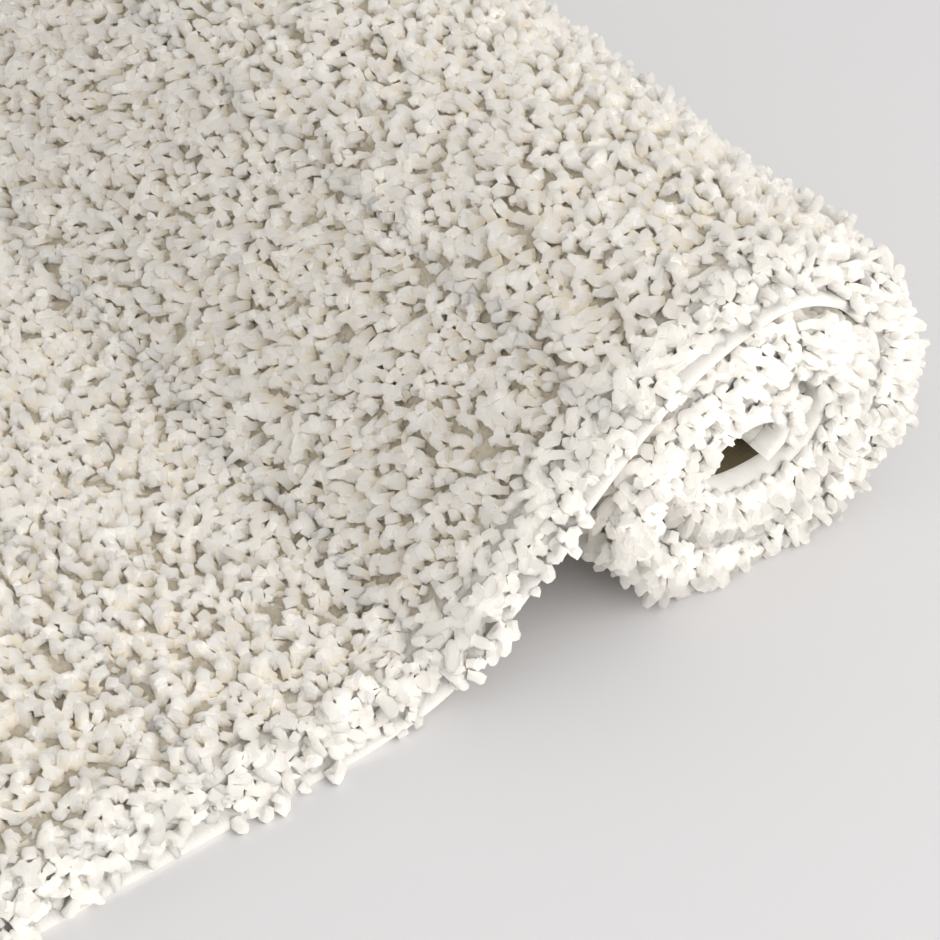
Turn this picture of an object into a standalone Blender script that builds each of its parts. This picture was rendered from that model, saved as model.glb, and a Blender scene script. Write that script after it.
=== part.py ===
"""A small shag rug, partly rolled up with its pile outwards.

The rug is modelled flat first, each point as (length, across, up): how far it is from the free end,
how far from the middle, and how high above the underside. Every point is then carried round the
section in which the rug lies: a flat stretch on the floor, a rise, and two and a half turns round a
small hollow core. Metres, +Z up. X runs along the roll, Y along the rug, and the floor is Z = 0.
"""

import bisect
import math
import random

import bmesh
import bpy
from mathutils import Vector

MM = 0.001

# The rug laid out flat.
RUG_LENGTH = 900 * MM
RUG_WIDTH = 600 * MM
BACKING_THICK = 3.0 * MM
BINDING_WIDE = 9.0 * MM
BINDING_THICK = 4.0 * MM
BINDING_ROUND = 1.2 * MM
PIECE_GAP = 0.3 * MM

# The section, seen along the roll from its open end. Each row is a point of the underside of the
# rug: its place along the floor and its height, measured from the middle of the roll, and how tall
# the pile stands there above the backing, free or pressed between two turns. All are in mm.
SECTION_COLUMNS = ("name", "along", "height", "pile")
SECTION_ROWS = (
    ("lift_off", -162, 0.0, 22),
    ("rise_foot", -126, 8.5, 22),
    ("rise_low", -98, 32.0, 22),
    ("rise_middle", -71, 61.0, 22),
    ("rise_high", -40, 90.0, 22),
    ("first_shoulder", -12, 105.0, 22),
    ("first_top", 14, 109.0, 21),
    ("first_upper_back", 41, 93.5, 20),
    ("first_back", 55, 62.0, 20),
    ("first_lower_back", 45, 30.0, 18),
    ("first_bottom", 9, 13.5, 12),
    ("first_lower_front", -24, 23.0, 18),
    ("first_front", -40, 48.0, 21),
    ("second_upper_front", -26, 71.5, 18),
    ("second_top", 2, 82.5, 21),
    ("second_upper_back", 21.5, 75.5, 20.5),
    ("second_back", 31, 58.5, 20),
    ("second_lower_back", 22.5, 43.0, 20),
    ("second_bottom", 3, 38.5, 20.5),
    ("second_lower_front", -12.5, 41.5, 18),
    ("second_front", -18.5, 50.0, 16),
    ("third_upper_front", -12, 58.5, 14.5),
    ("third_top", 1, 62.0, 15),
    ("third_upper_back", 12, 59.0, 12),
    ("third_back", 16, 52.0, 8),
    ("inner_end", 8, 45.5, 2),
)
SPLINE_STEPS = 24

# Steps along the rug: short where it bends tightly, long where it is straight.
STEP_LONGEST = 13.0 * MM
STEP_SHORTEST = 4.6 * MM
STEP_PER_RADIUS = 0.26

# The side edges of a soft rug waver a little along its length.
WAVER_DEEP = 1.4 * MM
WAVER_LENGTH = 330 * MM

# The pile: lumps over its face, and locks that spill over its bound edges.
LUMP_ACROSS = 22 * MM
LUMP_DEEP = 6.5 * MM
LUMP_SHIFT = 0.3
EDGE_DROP = 3.5 * MM
PILE_ROOT = 1.8 * MM
LOCK_TIP_SCALE = 0.4
LOCK_SHORT = 12 * MM
LOCK_LONG = 24 * MM
LOCK_LEAN = 2.0 * MM
SEED = 26

# Colour, roughness and metallic value of each finish.
FINISHES = {
    "backing": ((0.62, 0.58, 0.50), 0.92, 0.0),
    "pile": ((0.72, 0.67, 0.58), 0.95, 0.0),
    "binding": ((0.80, 0.76, 0.69), 0.85, 0.0),
}


class Section:
    """The line that the underside of the rug follows, from its free end to its inner end."""

    def __init__(self):
        rows = [dict(zip(SECTION_COLUMNS, row)) for row in SECTION_ROWS]
        knots = [Vector((row["along"] * MM, row["height"] * MM)) for row in rows]
        piles = [row["pile"] * MM for row in rows]
        curved, heights = smooth_line(knots, piles)
        flat = RUG_LENGTH - sum((b - a).length for a, b in zip(curved, curved[1:]))
        self.points = [curved[0] - Vector((flat, 0.0))] + curved
        self.piles = [heights[0]] + heights
        self.lengths = [0.0]
        for a, b in zip(self.points, self.points[1:]):
            self.lengths.append(self.lengths[-1] + (b - a).length)

    def place(self, length):
        """Which stretch of the line holds this length, and how far along that stretch it is."""
        i = bisect.bisect_right(self.lengths, length) - 1
        i = min(max(i, 0), len(self.points) - 2)
        return i, (length - self.lengths[i]) / (self.lengths[i + 1] - self.lengths[i])

    def point(self, length):
        """The point of the line at this length."""
        i, part = self.place(length)
        return self.points[i].lerp(self.points[i + 1], part)

    def pile(self, length):
        """How tall the pile stands at this length."""
        i, part = self.place(length)
        return self.piles[i] * (1 - part) + self.piles[i + 1] * part

    def direction(self, length, reach=1.5 * MM):
        """The unit direction of the line, taken over a short stretch on both sides."""
        length = min(max(length, 0.0), RUG_LENGTH)
        before = self.point(max(length - reach, 0.0))
        return (self.point(min(length + reach, RUG_LENGTH)) - before).normalized()

    def radius(self, length, reach=3.0 * MM):
        """How tightly the line bends at this length."""
        before = self.direction(max(length - reach, 0.0))
        turn = before.angle(self.direction(min(length + reach, RUG_LENGTH)))
        return 2 * reach / max(turn, 1e-4)

    def stops(self, start, end):
        """Lengths from start to end, close together where the line bends tightly."""
        stops = [start]
        while stops[-1] < end:
            step = STEP_PER_RADIUS * self.radius(stops[-1])
            stops.append(stops[-1] + min(max(step, STEP_SHORTEST), STEP_LONGEST))
        fit = (end - start) / (stops[-1] - start)
        return [start + (stop - start) * fit for stop in stops]

    def middle(self):
        """The middle of the whole rug along the floor, between its front locks and the roll's back."""
        i = max(range(len(self.points)), key=lambda k: self.points[k].x)
        back = self.points[i].x + BACKING_THICK + self.piles[i]
        front = self.points[0].x + BINDING_WIDE - LOCK_LONG
        return (front + back) / 2


def smooth_line(knots, values):
    """A smooth line through the knots that starts level, with the values eased along it."""
    before = knots[0] - Vector(((knots[1] - knots[0]).length, 0.0))
    knots = [before] + knots + [knots[-1] * 2 - knots[-2]]
    times = [0.0]
    for a, b in zip(knots, knots[1:]):
        times.append(times[-1] + (b - a).length ** 0.5)
    line, eased = [knots[1].copy()], [values[0]]
    for i in range(1, len(knots) - 2):
        a, b = knots[i], knots[i + 1]
        back, span, ahead = (times[i + k] - times[i + k - 1] for k in (0, 1, 2))
        leave = (a - knots[i - 1]) / back - (b - knots[i - 1]) / (back + span) + (b - a) / span
        reach = (b - a) / span - (knots[i + 2] - a) / (span + ahead) + (knots[i + 2] - b) / ahead
        for step in range(1, SPLINE_STEPS + 1):
            u = step / SPLINE_STEPS
            ease = u * u * (3 - 2 * u)
            bend = leave * (u - 2 * u * u + u**3) + reach * (u**3 - u * u)
            line.append(a * (1 - ease) + b * ease + bend * span)
            eased.append(values[i - 1] * (1 - ease) + values[i] * ease)
    return line, eased


SECTION = Section()
MIDDLE = SECTION.middle()
HALF_WIDTH = RUG_WIDTH / 2
HALF_INSIDE = HALF_WIDTH - BINDING_WIDE - PIECE_GAP
INSIDE_START = BINDING_WIDE + PIECE_GAP
INSIDE_END = RUG_LENGTH - BINDING_WIDE - PIECE_GAP
PILE_FOOT = BACKING_THICK + PIECE_GAP


def laid(flat):
    """The place in the world of a point of the flat rug. Nothing goes below the floor."""
    length, across, up = flat
    start, way = SECTION.point(length), SECTION.direction(length)
    turn = 2 * math.pi * length / WAVER_LENGTH
    side = across / HALF_WIDTH
    waver = WAVER_DEEP * (side * math.sin(turn) + abs(side) * math.sin(0.63 * turn + 1.0)) / 2
    height = max(start.y + way.x * up, 0.0)
    return Vector((across + waver, start.x - way.y * up - MIDDLE, height))


def loft(rings, start_open=False):
    """A mesh through rings of equally many points, closed unless its start is left open."""
    mesh = bmesh.new()
    rows = [[mesh.verts.new(point) for point in ring] for ring in rings]
    for row, following in zip(rows, rows[1:]):
        for i in range(len(row)):
            j = (i + 1) % len(row)
            mesh.faces.new((row[i], row[j], following[j], following[i]))
    mesh.faces.new(rows[-1])
    if start_open:
        return mesh, rows[0]
    mesh.faces.new(reversed(rows[0]))
    return mesh


def node(name, mesh, finish, collection):
    """Lays a flat mesh along the section and makes it a named object with its finish."""
    for vert in mesh.verts:
        vert.co = laid(vert.co)
    bmesh.ops.recalc_face_normals(mesh, faces=mesh.faces)
    if mesh.calc_volume(signed=True) < 0:
        bmesh.ops.reverse_faces(mesh, faces=mesh.faces)
    data = bpy.data.meshes.new(name)
    mesh.to_mesh(data)
    mesh.free()
    data.materials.append(finish)
    piece = bpy.data.objects.new(name, data)
    collection.objects.link(piece)
    return piece


def backing_mesh():
    """The woven sheet that carries the pile, between the bindings."""
    corners = ((-HALF_INSIDE, 0.0), (HALF_INSIDE, 0.0))
    corners += ((HALF_INSIDE, BACKING_THICK), (-HALF_INSIDE, BACKING_THICK))
    stops = SECTION.stops(INSIDE_START, INSIDE_END)
    return loft([[Vector((stop, across, up)) for across, up in corners] for stop in stops])


def binding_outline():
    """The section of the binding: how far in from the rug's edge, and how high, at each corner."""
    top, bend = BINDING_THICK, BINDING_ROUND
    return (
        (BINDING_WIDE, 0.0),
        (bend, 0.0),
        (0.0, bend),
        (0.0, top - bend),
        (bend, top),
        (BINDING_WIDE, top),
    )


def side_binding_mesh(side):
    """The bound edge along one side, over the whole length of the rug."""
    outline = [(side * (HALF_WIDTH - inward), up) for inward, up in binding_outline()]
    stops = SECTION.stops(0.0, RUG_LENGTH)
    return loft([[Vector((stop, across, up)) for across, up in outline] for stop in stops])


def end_binding_mesh(edge, inward):
    """The bound edge across one end, between the side bindings; inward is +1 or -1 along the rug."""
    outline = [(edge + inward * deep, up) for deep, up in binding_outline()]
    sides = (-HALF_INSIDE, HALF_INSIDE)
    return loft([[Vector((length, across, up)) for length, up in outline] for across in sides])


def pile_ring(stop, columns, dice):
    """One outline across the pile: a flat foot, two low walls, and lumps over the top."""
    rise = SECTION.pile(stop)
    top = []
    for i in range(columns + 1):
        side = 2 * i / columns - 1
        edge = i in (0, columns)
        shift = 0.0 if edge else dice.uniform(-LUMP_SHIFT, LUMP_SHIFT) * LUMP_ACROSS
        low = dice.random() * LUMP_DEEP * min(rise / SECTION.piles[0], 1.0)
        drop = EDGE_DROP * rise / SECTION.piles[0] if edge else 0.0
        top.append(Vector((stop, side * HALF_INSIDE + shift, PILE_FOOT + rise - low - drop)))
    root = PILE_FOOT + min(PILE_ROOT, rise / 3)
    left = [Vector((stop, -HALF_INSIDE, up)) for up in (root, PILE_FOOT)]
    right = [Vector((stop, HALF_INSIDE, up)) for up in (PILE_FOOT, root)]
    return left + right + top[::-1]


def face_free_end(mesh, ring):
    """Closes the pile's free end with a low strip and, over it, one tall face for each lock."""
    low_left, foot_left, foot_right, low_right = ring[:4]
    top = ring[:3:-1]
    inner = [mesh.verts.new((low_left.co.x, vert.co.y, low_left.co.z)) for vert in top[1:-1]]
    roots = [low_left] + inner + [low_right]
    mesh.faces.new([foot_right, foot_left] + roots)
    for i in range(len(top) - 1):
        mesh.faces.new((roots[i], top[i], top[i + 1], roots[i + 1]))


def lock_direction(face):
    """Which way a lock grows from this face of the flat pile, or None where none does."""
    heights = [vert.co.z for vert in face.verts]
    if len(heights) != 4 or max(heights) - min(heights) < 2 * PILE_ROOT:
        return None
    if all(abs(vert.co.x - INSIDE_START) < 1e-6 for vert in face.verts):
        return Vector((-1.0, 0.0, 0.0))
    if all(abs(abs(vert.co.y) - HALF_INSIDE) < 1e-6 for vert in face.verts):
        return Vector((0.0, math.copysign(1.0, face.verts[0].co.y), 0.0))
    return None


def pull_locks(mesh, dice):
    """Draws each tall face of the pile's sides and free end out into a tapering lock."""
    roots = [(face, lock_direction(face)) for face in mesh.faces]
    roots = [(face, way) for face, way in roots if way]
    pulled = bmesh.ops.extrude_discrete_faces(mesh, faces=[face for face, _ in roots])
    for face, (_, way) in zip(pulled["faces"], roots):
        middle = face.calc_center_median()
        aside = dice.uniform(-LOCK_LEAN, LOCK_LEAN)
        lean = Vector((way.y * aside, way.x * aside, dice.uniform(-LOCK_LEAN, LOCK_LEAN)))
        tip = middle + way * dice.uniform(LOCK_SHORT, LOCK_LONG) + lean
        for vert in face.verts:
            vert.co = tip + (vert.co - middle) * LOCK_TIP_SCALE


def pile_mesh():
    """The whole pile as one lumpy slab, with locks along its sides."""
    dice = random.Random(SEED)
    columns = round(2 * HALF_INSIDE / LUMP_ACROSS)
    stops = SECTION.stops(INSIDE_START, INSIDE_END)
    mesh, first = loft([pile_ring(stop, columns, dice) for stop in stops], start_open=True)
    face_free_end(mesh, first)
    pull_locks(mesh, dice)
    return mesh


def material(name):
    """A plain finish by its name in FINISHES."""
    colour, roughness, metallic = FINISHES[name]
    finish = bpy.data.materials.new(name)
    finish.use_nodes = True
    shader = finish.node_tree.nodes["Principled BSDF"]
    shader.inputs["Base Color"].default_value = (*colour, 1.0)
    shader.inputs["Roughness"].default_value = roughness
    shader.inputs["Metallic"].default_value = metallic
    return finish


def main():
    for thing in list(bpy.data.objects):
        bpy.data.objects.remove(thing, do_unlink=True)
    rug = bpy.data.collections.new("shag_rug")
    bpy.context.scene.collection.children.link(rug)
    finishes = {name: material(name) for name in FINISHES}
    node("backing", backing_mesh(), finishes["backing"], rug)
    node("pile", pile_mesh(), finishes["pile"], rug)
    node("binding_right", side_binding_mesh(1), finishes["binding"], rug)
    node("binding_left", side_binding_mesh(-1), finishes["binding"], rug)
    node("binding_free_end", end_binding_mesh(0.0, 1), finishes["binding"], rug)
    node("binding_inner_end", end_binding_mesh(RUG_LENGTH, -1), finishes["binding"], rug)


main()
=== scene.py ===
"""The looks of a small cream shag rug, partly rolled up with its pile outwards.

The rug is built flat, as (length, across, up), and carried round the same section as its solids. The
woven backing, the overcast edges and the pile are separate pieces. The pile is a low bed of packed
yarn roots, with every yarn end that shows standing on it as its own bent, blunt tube.
"""

import logging
import math
from dataclasses import dataclass, field
from enum import Enum

import bmesh
import bpy
import numpy as np
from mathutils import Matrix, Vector


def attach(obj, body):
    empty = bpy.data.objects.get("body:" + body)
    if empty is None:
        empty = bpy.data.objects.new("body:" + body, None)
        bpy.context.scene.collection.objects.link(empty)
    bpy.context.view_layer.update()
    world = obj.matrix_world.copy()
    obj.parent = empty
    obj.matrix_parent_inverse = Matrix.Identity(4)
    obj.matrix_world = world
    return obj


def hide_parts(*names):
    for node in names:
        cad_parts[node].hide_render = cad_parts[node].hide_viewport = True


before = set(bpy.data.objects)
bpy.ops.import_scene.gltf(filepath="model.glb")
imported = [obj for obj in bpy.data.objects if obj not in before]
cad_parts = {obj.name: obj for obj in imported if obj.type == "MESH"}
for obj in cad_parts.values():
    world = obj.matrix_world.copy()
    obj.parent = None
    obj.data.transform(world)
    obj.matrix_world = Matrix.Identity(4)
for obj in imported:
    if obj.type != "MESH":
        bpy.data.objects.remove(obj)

LOG = logging.getLogger("shag_rug")
MM = 0.001
TINY = 1e-6
BODY = "root"
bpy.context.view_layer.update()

Colour = tuple[float, float, float, float]
Triple = tuple[float, float, float]
Faces = list[tuple[int, ...]]
Layers = list[tuple[np.ndarray, float | np.ndarray]]
Socket = bpy.types.NodeSocket
Term = Socket | float | Triple


class Side(Enum):
    """A long side of the rug, seen from its free end."""

    RIGHT = 1
    LEFT = -1


class End(Enum):
    """An end of the rug."""

    FREE = "free_end"
    INNER = "inner_end"


class Kind(Enum):
    """The kinds of value that a named attribute holds, by Blender's own words."""

    NUMBER = "FLOAT"
    VECTOR = "FLOAT_VECTOR"


class Domain(Enum):
    """What a named attribute has its values for, by Blender's own words."""

    POINT = "POINT"
    INSTANCE = "INSTANCE"


class Draw(Enum):
    """The random draws of a yarn, each with its own seed."""

    LEAN = 11
    LENGTH = 12
    SWING = 13
    GIRTH = 14
    TONE = 15


class Run(Enum):
    """The way along which a weave's ridges follow each other, by its axis on the flat rug."""

    LENGTH = "X"
    WIDTH = "Y"


@dataclass(frozen=True)
class Station:
    """One point of the section: its place and height in mm, and how tall the pile stands there."""

    name: str
    along: float
    height: float
    pile: float


STATIONS = (
    Station("lift_off", -162, 0.0, 22),
    Station("rise_foot", -126, 8.5, 22),
    Station("rise_low", -98, 32.0, 22),
    Station("rise_middle", -71, 61.0, 22),
    Station("rise_high", -40, 90.0, 22),
    Station("first_shoulder", -12, 105.0, 22),
    Station("first_top", 14, 109.0, 21),
    Station("first_upper_back", 41, 93.5, 20),
    Station("first_back", 55, 62.0, 20),
    Station("first_lower_back", 45, 30.0, 18),
    Station("first_bottom", 9, 13.5, 12),
    Station("first_lower_front", -24, 23.0, 18),
    Station("first_front", -40, 48.0, 21),
    Station("second_upper_front", -26, 71.5, 18),
    Station("second_top", 2, 82.5, 22.5),
    Station("second_upper_back", 21.5, 75.5, 23),
    Station("second_back", 31, 58.5, 21),
    Station("second_lower_back", 22.5, 43.0, 20),
    Station("second_bottom", 3, 38.5, 20.5),
    Station("second_lower_front", -12.5, 41.5, 18),
    Station("second_front", -18.5, 50.0, 16),
    Station("third_upper_front", -12, 58.5, 14.5),
    Station("third_top", 1, 62.0, 17),
    Station("third_upper_back", 12, 59.0, 15),
    Station("third_back", 16, 52.0, 11),
    Station("inner_end", 8, 45.5, 2),
)


@dataclass
class Rug:
    """The whole rug laid out flat, and the section that it follows."""

    length: float = 900 * MM
    width: float = 600 * MM
    backing: float = 3.0 * MM
    binding_wide: float = 9.0 * MM
    binding_thick: float = 4.0 * MM
    gap: float = 0.3 * MM
    lock_long: float = 24 * MM
    spline_steps: int = 24
    waver_deep: float = 1.4 * MM
    waver_length: float = 330 * MM
    waver_slower: float = 0.63
    waver_later: float = 1.0
    points: np.ndarray = field(init=False)
    piles: np.ndarray = field(init=False)
    lengths: np.ndarray = field(init=False)
    middle: float = field(init=False, default=0.0)

    def __post_init__(self) -> None:
        """Works the smooth line out from the stations."""
        knots = np.array([(s.along, s.height) for s in STATIONS]) * MM
        curved, piles = self._smooth(knots, np.array([s.pile for s in STATIONS]) * MM)
        flat = self.length - np.linalg.norm(np.diff(curved, axis=0), axis=1).sum()
        self.points = np.vstack([curved[0] - (flat, 0.0), curved])
        self.piles = np.concatenate([piles[:1], piles])
        steps = np.linalg.norm(np.diff(self.points, axis=0), axis=1)
        self.lengths = np.concatenate([[0.0], np.cumsum(steps)])
        back = int(self.points[:, 0].argmax())
        front = self.points[0, 0] + self.binding_wide - self.lock_long
        self.middle = (front + self.points[back, 0] + self.backing + self.piles[back]) / 2

    def _smooth(self, knots: np.ndarray, values: np.ndarray) -> tuple[np.ndarray, np.ndarray]:
        """Draws a smooth line through the knots that starts level.

        Args:
            knots: The points that the line goes through.
            values: A value at each knot, eased along the line.

        Returns:
            The line's points and the value at each.
        """
        before = knots[0] - (np.linalg.norm(knots[1] - knots[0]), 0.0)
        knots = np.vstack([before, knots, knots[-1] * 2 - knots[-2]])
        spans = np.sqrt(np.linalg.norm(np.diff(knots, axis=0), axis=1))
        line, eased = [knots[1]], [values[0]]
        for i in range(1, len(knots) - 2):
            a, b = knots[i], knots[i + 1]
            back, span, ahead = spans[i - 1 : i + 2]
            leave = (a - knots[i - 1]) / back - (b - knots[i - 1]) / (back + span) + (b - a) / span
            reach = (b - a) / span - (knots[i + 2] - a) / (span + ahead)
            reach = reach + (knots[i + 2] - b) / ahead
            for step in range(1, self.spline_steps + 1):
                u = step / self.spline_steps
                ease = u * u * (3 - 2 * u)
                bend = leave * (u - 2 * u * u + u**3) + reach * (u**3 - u * u)
                line.append(a * (1 - ease) + b * ease + bend * span)
                eased.append(values[i - 1] * (1 - ease) + values[i] * ease)
        return np.array(line), np.array(eased)

    def _on_line(self, length: np.ndarray) -> np.ndarray:
        """The line's points at these lengths, held between its two ends."""
        inside = np.clip(length, 0.0, self.length)
        return np.stack([np.interp(inside, self.lengths, self.points[:, k]) for k in (0, 1)], axis=-1)

    def point(self, length: np.ndarray) -> np.ndarray:
        """The line's points at these lengths, past its ends in a straight line."""
        spare = np.minimum(length, 0.0) + np.maximum(length - self.length, 0.0)
        return self._on_line(length) + self.direction(length) * spare[..., None]

    def direction(self, length: np.ndarray, reach: float = 1.5 * MM) -> np.ndarray:
        """Works out which way the line runs at some lengths.

        Args:
            length: The lengths.
            reach: How far before and after each length the line is looked at.

        Returns:
            A unit direction for each length.
        """
        inside = np.clip(length, 0.0, self.length)
        way = self._on_line(inside + reach) - self._on_line(inside - reach)
        return way / np.linalg.norm(way, axis=-1, keepdims=True)

    def pile(self, length: np.ndarray) -> np.ndarray:
        """How tall the pile stands at these lengths."""
        return np.interp(length, self.lengths, self.piles)

    def outward(self, length: np.ndarray) -> np.ndarray:
        """The world directions in which the pile stands at these lengths."""
        way = self.direction(np.asarray(length, float))
        return np.stack([np.zeros(way.shape[:-1]), -way[..., 1], way[..., 0]], axis=-1)

    def laid(self, flat: np.ndarray) -> np.ndarray:
        """Carries points of the flat rug to where they lie. None of them goes below the floor.

        Args:
            flat: Points as (length, across, up), one a row.

        Returns:
            The same points in the world.
        """
        flat = np.asarray(flat, float)
        length, across, up = flat[..., 0], flat[..., 1], flat[..., 2]
        start, way = self.point(length), self.direction(length)
        turn = 2 * math.pi * length / self.waver_length
        side = across / (self.width / 2)
        slow = np.sin(self.waver_slower * turn + self.waver_later)
        waver = side * np.sin(turn) + np.abs(side) * slow
        place = start[..., 0] - way[..., 1] * up - self.middle
        height = np.maximum(start[..., 1] + way[..., 0] * up, 0.0)
        return np.stack([across + self.waver_deep * waver / 2, place, height], axis=-1)

    @property
    def edging(self) -> float:
        """How far in from an edge the backing and the pile begin."""
        return self.binding_wide + self.gap

    @property
    def half_inside(self) -> float:
        """Half the width between the bindings."""
        return self.width / 2 - self.binding_wide - self.gap

    @property
    def inside(self) -> tuple[float, float]:
        """The lengths between which the backing and the pile run, inside the end bindings."""
        return self.edging, self.length - self.edging


RUG = Rug()


def linked(name: str, data: bpy.types.ID) -> bpy.types.Object:
    """Puts a mesh, a light or a camera into the scene.

    Args:
        name: The object's name.
        data: What the object shows.

    Returns:
        The object.
    """
    made = bpy.data.objects.new(name, data)
    bpy.context.scene.collection.objects.link(made)
    return made


def mesh_object(
    name: str, points: np.ndarray, faces: Faces, material: bpy.types.Material
) -> bpy.types.Object:
    """Makes a smooth object from points and faces.

    Args:
        name: The object's name.
        points: World points, one a row.
        faces: Tuples of point numbers.
        material: The finish of all faces.

    Returns:
        The object, linked to the scene, with its faces pointing outwards.
    """
    data = bpy.data.meshes.new(name)
    data.from_pydata([tuple(p) for p in points], [], faces)
    work = bmesh.new()
    work.from_mesh(data)
    bmesh.ops.recalc_face_normals(work, faces=work.faces)
    if work.calc_volume(signed=True) < 0:
        bmesh.ops.reverse_faces(work, faces=work.faces)
    work.to_mesh(data)
    work.free()
    data.shade_smooth()
    data.materials.append(material)
    return linked(name, data)


def cells(count: int, wide: int) -> list[int]:
    """The first corner of each cell in a grid of rows of points, row by row."""
    return [i * wide + j for i in range(count - 1) for j in range(wide - 1)]


def slab(lengths: np.ndarray, sides: np.ndarray, layers: Layers) -> tuple[np.ndarray, Faces]:
    """Makes a closed slab over a grid of the flat rug.

    Args:
        lengths: The grid's lengths.
        sides: The grid's places across.
        layers: From the underside up, each layer's height at each length and side, and how far it
            reaches past the grid at each side, in all or at each length.

    Returns:
        The flat points, and the faces of the closed surface.
    """
    count, wide = len(lengths), len(sides)
    grid = np.stack(np.meshgrid(lengths, sides, indexing="ij"), axis=-1)
    sheets = []
    for height, flare in layers:
        wider = grid.copy()
        wider[..., 1] *= 1.0 + flare / sides[-1]
        sheets.append(np.concatenate([wider, height[..., None]], axis=-1).reshape(-1, 3))
    size = count * wide
    top = size * (len(layers) - 1)
    faces = []
    for a in cells(count, wide):
        faces.append((a, a + 1, a + wide + 1, a + wide))
        faces.append((top + a, top + a + wide, top + a + wide + 1, top + a + 1))
    rim = [(i * wide, (i + 1) * wide) for i in range(count - 1)]
    rim += [((i + 2) * wide - 1, (i + 1) * wide - 1) for i in range(count - 1)]
    rim += [(j + 1, j) for j in range(wide - 1)]
    rim += [(size - wide + j, size - wide + j + 1) for j in range(wide - 1)]
    for low in range(0, top, size):
        faces += [(low + a, low + b, low + size + b, low + size + a) for a, b in rim]
    return np.concatenate(sheets), faces


def keep_values(data: bpy.types.Mesh, name: str, values: list | np.ndarray, kind: Kind) -> None:
    """Keeps a named value for each point of a mesh.

    Args:
        data: The mesh.
        name: The attribute's name.
        values: The values, one a point.
        kind: Their kind.
    """
    layer = data.attributes.new(name, kind.value, Domain.POINT.value)
    slot = "vector" if kind is Kind.VECTOR else "value"
    layer.data.foreach_set(slot, np.asarray(values, np.float32).ravel())


def values_of(piece: bpy.types.Object, name: str, kind: Kind) -> np.ndarray:
    """Reads a named value of each point of a piece.

    Args:
        piece: The piece.
        name: The attribute's name.
        kind: The values' kind.

    Returns:
        The values, one row a point.
    """
    wide, slot = (3, "vector") if kind is Kind.VECTOR else (1, "value")
    found = np.empty(len(piece.data.vertices) * wide, np.float32)
    piece.data.attributes[name].data.foreach_get(slot, found)
    return found.reshape(-1, wide)


def soften(piece: bpy.types.Object, ways: np.ndarray, share: float | np.ndarray) -> None:
    """Turns a piece's shading part of the way to another direction at each point.

    A yarn lets light through and is a fuzz of fibres, so that its sides differ less than a hard tube's.

    Args:
        piece: The piece.
        ways: The direction for each of its points.
        share: How far the normals turn, from 0 to 1, in all or at each point.
    """
    data = piece.data
    own = np.empty(len(data.vertices) * 3, np.float32)
    data.vertex_normals.foreach_get("vector", own)
    ways = ways / np.linalg.norm(ways, axis=1, keepdims=True)
    turned = own.reshape(-1, 3) * (1.0 - share) + ways * share
    turned /= np.maximum(np.linalg.norm(turned, axis=1, keepdims=True), TINY)
    data.normals_split_custom_set_from_vertices(turned.tolist())


def flat_map(piece: bpy.types.Object, flat: np.ndarray) -> None:
    """Gives a piece a UV map of the flat rug, in metres, so that a weave follows the cloth.

    Args:
        piece: The piece.
        flat: The flat place of each of its points.
    """
    layer = piece.data.uv_layers.new(name="flat")
    corners = np.empty(len(piece.data.loops), np.int32)
    piece.data.loops.foreach_get("vertex_index", corners)
    layer.data.foreach_set("uv", flat[corners][:, :2].astype(np.float32).ravel())


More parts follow.
